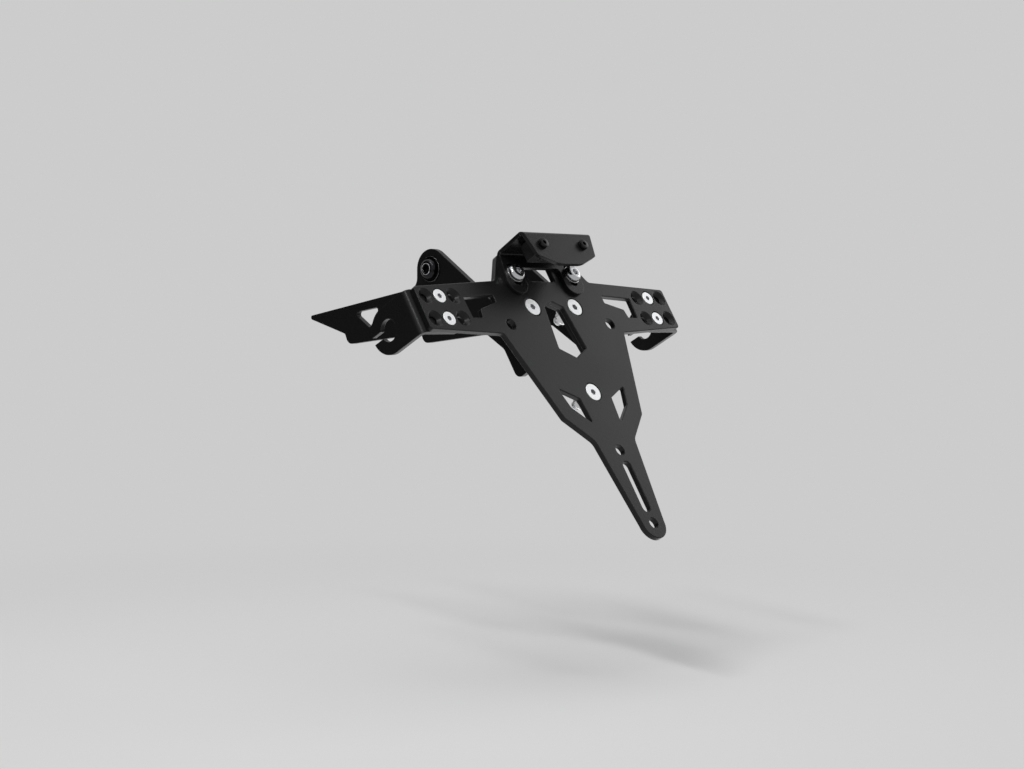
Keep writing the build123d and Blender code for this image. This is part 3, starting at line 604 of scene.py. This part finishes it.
def cap(size, width, length, height):
    """Cylinder head with grooves round it."""
    head = width / 2
    grooves = [head - KNURL * (n % 2) for n in range(SIDES)]

    def knurled(level):
        return [(r * cos(a), r * sin(a), level) for r, a in zip(grooves, ANGLES)]

    return [
        *socket(size["key"], KEY_DEPTH * height),
        circle(head - CAP_BEVEL, 0), circle(head - CAP_EDGE, -CAP_EDGE), circle(head - KNURL, -CAP_BEVEL),
        knurled(-KNURL_TOP), knurled(KNURL_FOOT - height), circle(head - KNURL_FOOT, -height),
        *shank(size, -height, length),
    ]


stacks = [(place, cap(M3, width, length, M3_CAP), {})
          for place, width, length in seats("lamp_screws", plate_out)]
put("lamp_screws_knurled", stacks, [oxide], "lamp_screws")

# %% [markdown]
# ## Lock nuts
# The screws of the plate, the indicator brackets and the light bracket end in lock nuts. Such a nut is a
# hexagon with bevelled corners, and a round collar that is rolled over a ring of nylon. The ring is squeezed
# onto the thread and keeps it from shaking loose. A plain hexagon would be simpler, but the collar is what
# tells a lock nut from an ordinary one. The nut is a closed loop of rings with no caps, and the nylon is a
# second, smaller loop in the collar, with its own finish.

# %% Lock nuts
COLLAR = 0.3            # of the nut's height
COLLAR_STEP = 0.25      # mm, collar inside the flats
ROLLED_LIP = 0.3        # mm, rolled over the nylon
THREAD_GAP = 0.05       # mm, bore over the thread, on the radius
BORE_MOUTH = 0.3        # mm, chamfer at the mouth of the bore
FACE_INSET = 0.1        # mm, seat face inside the flats
BEVEL_DROP = 0.05       # mm, bevel's upper edge below the seat face
BEVEL_ANGLE = 30.0      # degrees, at the corners
NYLON_HEIGHT = 1.1      # mm
NYLON_SHARE = 0.55      # of the collar's wall, taken by the nylon
NYLON_GAP = 0.02        # mm, nylon over the thread, on the radius
NYLON_EDGE = 0.1        # mm, height of the nylon's rounded lower edge
NYLON_EDGE_WIDTH = 0.2  # mm


def bevelled(flats, level):
    """The hexagon's top edge, which falls away at the corners as a lathe bevels it."""
    slope = tan(radians(BEVEL_ANGLE))
    return [(x, y, level - (Vector((x, y)).length - flats / 2) * slope) for x, y, _ in hexagon(flats, level)]


def nylon_reach(bore, flats):
    """Outer radius of the nylon in a nut's collar."""
    return bore + NYLON_SHARE * (flats / 2 - COLLAR_STEP - bore)


def lock_nut(size, height):
    """Hexagon and collar round a bore, with a groove for the nylon."""
    flats = size["nut_flats"]
    bore = size["shank"] / 2 + THREAD_GAP
    step = COLLAR * height - height
    collar = flats / 2 - COLLAR_STEP
    nylon_out = nylon_reach(bore, flats)
    low = ROLLED_LIP - height
    return [
        circle(bore + BORE_MOUTH, 0), circle(flats / 2 - FACE_INSET, 0), bevelled(flats, -BEVEL_DROP),
        hexagon(flats, step), circle(collar, step), circle(collar, 2 * ROLLED_LIP - height),
        circle(collar - ROLLED_LIP / 2, ROLLED_LIP / 2 - height), circle(collar - ROLLED_LIP, -height),
        circle(nylon_out - ROLLED_LIP / 2, -height), circle(nylon_out, low),
        circle(nylon_out, low + NYLON_HEIGHT), circle(bore, low + NYLON_HEIGHT), circle(bore, -BORE_MOUTH),
    ]


def nylon_ring(size, height):
    """Ring that fills the groove, with its lower edges rounded."""
    bore = size["shank"] / 2 + NYLON_GAP
    nylon_out = nylon_reach(bore, size["nut_flats"])
    low = ROLLED_LIP - height
    return [
        circle(bore, low + NYLON_HEIGHT), circle(nylon_out, low + NYLON_HEIGHT),
        circle(nylon_out, low + NYLON_EDGE), circle(nylon_out - NYLON_EDGE_WIDTH, low),
        circle(bore + NYLON_EDGE_WIDTH, low), circle(bore, low + NYLON_EDGE),
    ]


for node, size in (("carrier_nuts", M5), ("light_bracket_nuts", M5), ("indicator_nuts", M4)):
    stacks = []
    for place, _, height in seats(node, plate_out):
        stacks.append((place, lock_nut(size, height), {"closed": True}))
        stacks.append((place, nylon_ring(size, height), {"closed": True, "finish": 1}))
    put(node + "_locking", stacks, [machined, nylon], node)

# %% [markdown]
# ## Floor and backdrop
# The part is shown as it is held in use, in the air, so a pale sheet of paper lies a little below it. A real
# paper sweep curves up behind the object. Here the same look comes from a flat sheet that fades into the
# backdrop's grey with distance, which works for a camera on any side and still keeps the soft shadow under
# the part. Seen from below the sheet is clear, so it hides nothing.

# %% Floor
BACKDROP = "#CCCCCC"
FLOOR_DROP = 70.0       # mm below the lowest point
FADE_FROM = 200.0       # mm from the middle
FADE_TO = 620.0         # mm from the middle
FLOOR_HALF = 9.0        # m

middle = (cad_box[0] + cad_box[1]) / 2
level = cad_box[0].z - FLOOR_DROP * MM


def square_sheet(name, half):
    """A flat square round its own origin, with half its side given in metres."""
    corners = [(-half, -half, 0), (half, -half, 0), (half, half, 0), (-half, half, 0)]
    mesh = bpy.data.meshes.new(name)
    mesh.from_pydata(corners, [], [(0, 1, 2, 3)])
    sheet = bpy.data.objects.new(name, mesh)
    scene.collection.objects.link(sheet)
    return sheet


floor = square_sheet("paper_floor", FLOOR_HALF)
floor.location = (middle.x, middle.y, level)

paper, tree, shader = start_finish("paper_matt", "#F0F0F0", metallic=0.0, roughness=0.9)
place = add(tree, "ShaderNodeTexCoord").outputs["Object"]
away = add(tree, "ShaderNodeVectorMath", {0: place}, operation="LENGTH").outputs["Value"]
fade = add(tree, "ShaderNodeMapRange", {
    "Value": away, "From Min": FADE_FROM * MM, "From Max": FADE_TO * MM,
}, interpolation_type="SMOOTHSTEP")
glow = add(tree, "ShaderNodeEmission", {"Color": linear(BACKDROP)})
faded = add(tree, "ShaderNodeMixShader", {
    0: fade.outputs["Result"], 1: shader.outputs["BSDF"], 2: glow.outputs["Emission"],
})
clear = add(tree, "ShaderNodeBsdfTransparent")
below = add(tree, "ShaderNodeNewGeometry").outputs["Backfacing"]
one_sided = add(tree, "ShaderNodeMixShader", {0: below, 1: faded.outputs[0], 2: clear.outputs[0]})
tree.links.new(one_sided.outputs[0], tree.nodes["Material Output"].inputs["Surface"])
floor.data.materials.append(paper)
print("floor at", round(level / MM), "mm")

# %% [markdown]
# ## The room
# The camera, reflections and the clear lens see the pale backdrop, but a room that bright all round would
# wash out the black coat. A real studio could hang dark cloth out of view. Here dull surfaces simply get a
# darker fill, and the Light Path node tells the kinds of ray apart.

# %% Backdrop and fill
FILL = "#9C9C9C"        # what the room sends to dull surfaces

world = bpy.data.worlds.new("studio")
world.use_nodes = True
scene.world = world
sky = world.node_tree
room = sky.nodes["Background"]
room.inputs["Color"].default_value = linear(FILL)
rays = add(sky, "ShaderNodeLightPath").outputs
seen = add(sky, "ShaderNodeMath", {0: rays["Is Camera Ray"], 1: rays["Is Glossy Ray"]}, operation="MAXIMUM")
seen = add(sky, "ShaderNodeMath", {0: seen.outputs[0], 1: rays["Is Transmission Ray"]}, operation="MAXIMUM")
backdrop = add(sky, "ShaderNodeBackground", {"Color": linear(BACKDROP)})
either = add(sky, "ShaderNodeMixShader", {0: seen.outputs[0], 1: room.outputs[0], 2: backdrop.outputs[0]})
sky.links.new(either.outputs[0], sky.nodes["World Output"].inputs["Surface"])
print("backdrop", BACKDROP, "fill", FILL)

# %% [markdown]
# ## Soft lights
# Black satin metal shows the room more than it shows its own colour, so the lights are placed by reflection.
# An even dome of light would be simpler, but would show less of the form. A big softbox stands near where the
# plate mirrors it into the camera, and turns the plate's face dark grey while its screws go nearly white. It
# stands a little to the right, so the sheen fades towards the left arm. A second one above lifts the top
# edges. A long, narrow strip on the left draws a thin line of light along folds and broken edges, and is too
# narrow to fill the open countersinks. A panel that lies low on the right, just above the paper, gives the
# arms a pale lower edge. Brightness is given as a share of white, and the power follows from the size.

# %% Soft lights
def softbox(name, towards, distance, sides, brightness, along=(0, 0, 1), around=middle):
    """A soft light that faces a point, its first side along a direction; brightness 1 mirrors as white."""
    light = bpy.data.lights.new(name, "AREA")
    light.shape = "RECTANGLE"
    light.size, light.size_y = sides
    light.energy = brightness * pi * light.size * light.size_y
    lamp = bpy.data.objects.new(name, light)
    back = Vector(towards).normalized()
    up = back.cross(Vector(along)).normalized()
    turn = Matrix((up.cross(back), up, back)).transposed()
    lamp.matrix_world = Matrix.Translation(around + back * distance) @ turn.to_4x4()
    lamp.visible_camera = False
    scene.collection.objects.link(lamp)
    print(name, round(light.energy, 2), "W")


LOW_SHIFT = Vector((180, 20, 0)) * MM   # from the middle, to where the arms mirror the panel
softbox("key_softbox", towards=(0.93, -0.20, 0.42), distance=1.6, sides=(0.8, 0.8), brightness=1.5)
softbox("top_softbox", towards=(0.1, 0.1, 1.0), distance=1.5, sides=(1.2, 1.2), brightness=1.0)
softbox("edge_strip", towards=(-0.56, -0.17, 0.77), distance=1.2, sides=(0.9, 0.09), brightness=19.0,
        along=(0.08, 0.54, 0.18))
softbox("low_panel", towards=(0, 0, -1), distance=0.13, sides=(0.4, 0.22), brightness=0.9,
        along=(1, 0, 0), around=middle + LOW_SHIFT)

# %% [markdown]
# ## A black flag
# A flag is a sheet of dull cloth that photographers put where a dark object should stay dark. This one stands
# to the left and ahead, and keeps the faces that turn that way deep black. A darker backdrop would do so too,
# but on every side at once. The flag throws no shadow, and the camera doesn't see it.

# %% Black flag
FLAG_TOWARDS = Vector((-0.72, 0.69, 0.0))
FLAG_DISTANCE = 0.7     # m from the middle
FLAG_HALF = 0.6         # m

flag = square_sheet("black_flag", FLAG_HALF)
flag.location = middle + FLAG_TOWARDS * FLAG_DISTANCE
flag.rotation_euler = FLAG_TOWARDS.to_track_quat("Z", "Y").to_euler()
flag.visible_camera = flag.visible_diffuse = flag.visible_shadow = False
cloth, _, _ = start_finish("flag_cloth_dull", "#080808", metallic=0.0, roughness=1.0)
flag.data.materials.append(cloth)
print("black flag", 2 * FLAG_HALF, "m square")

# %% [markdown]
# ## Camera
# The camera stands behind and to the left, almost level with the tail bolts, as a person does who looks at
# the part from a low stool. A long lens from about a metre keeps the perspective gentle.

# %% Camera
SENSOR = 36.0           # mm
LENS = 70.3             # mm
CAMERA_PLACE = Vector((-752.4, -746.2, -25.7)) * MM
CAMERA_LOOK = Vector((0.7236, 0.6894, -0.0329))

camera = bpy.data.objects.new("camera", bpy.data.cameras.new("camera"))
camera.data.sensor_width = SENSOR
camera.data.lens = LENS
camera.location = CAMERA_PLACE
camera.rotation_euler = CAMERA_LOOK.to_track_quat("-Z", "Y").to_euler()
scene.collection.objects.link(camera)
scene.camera = camera
scene.view_settings.view_transform = "Standard"
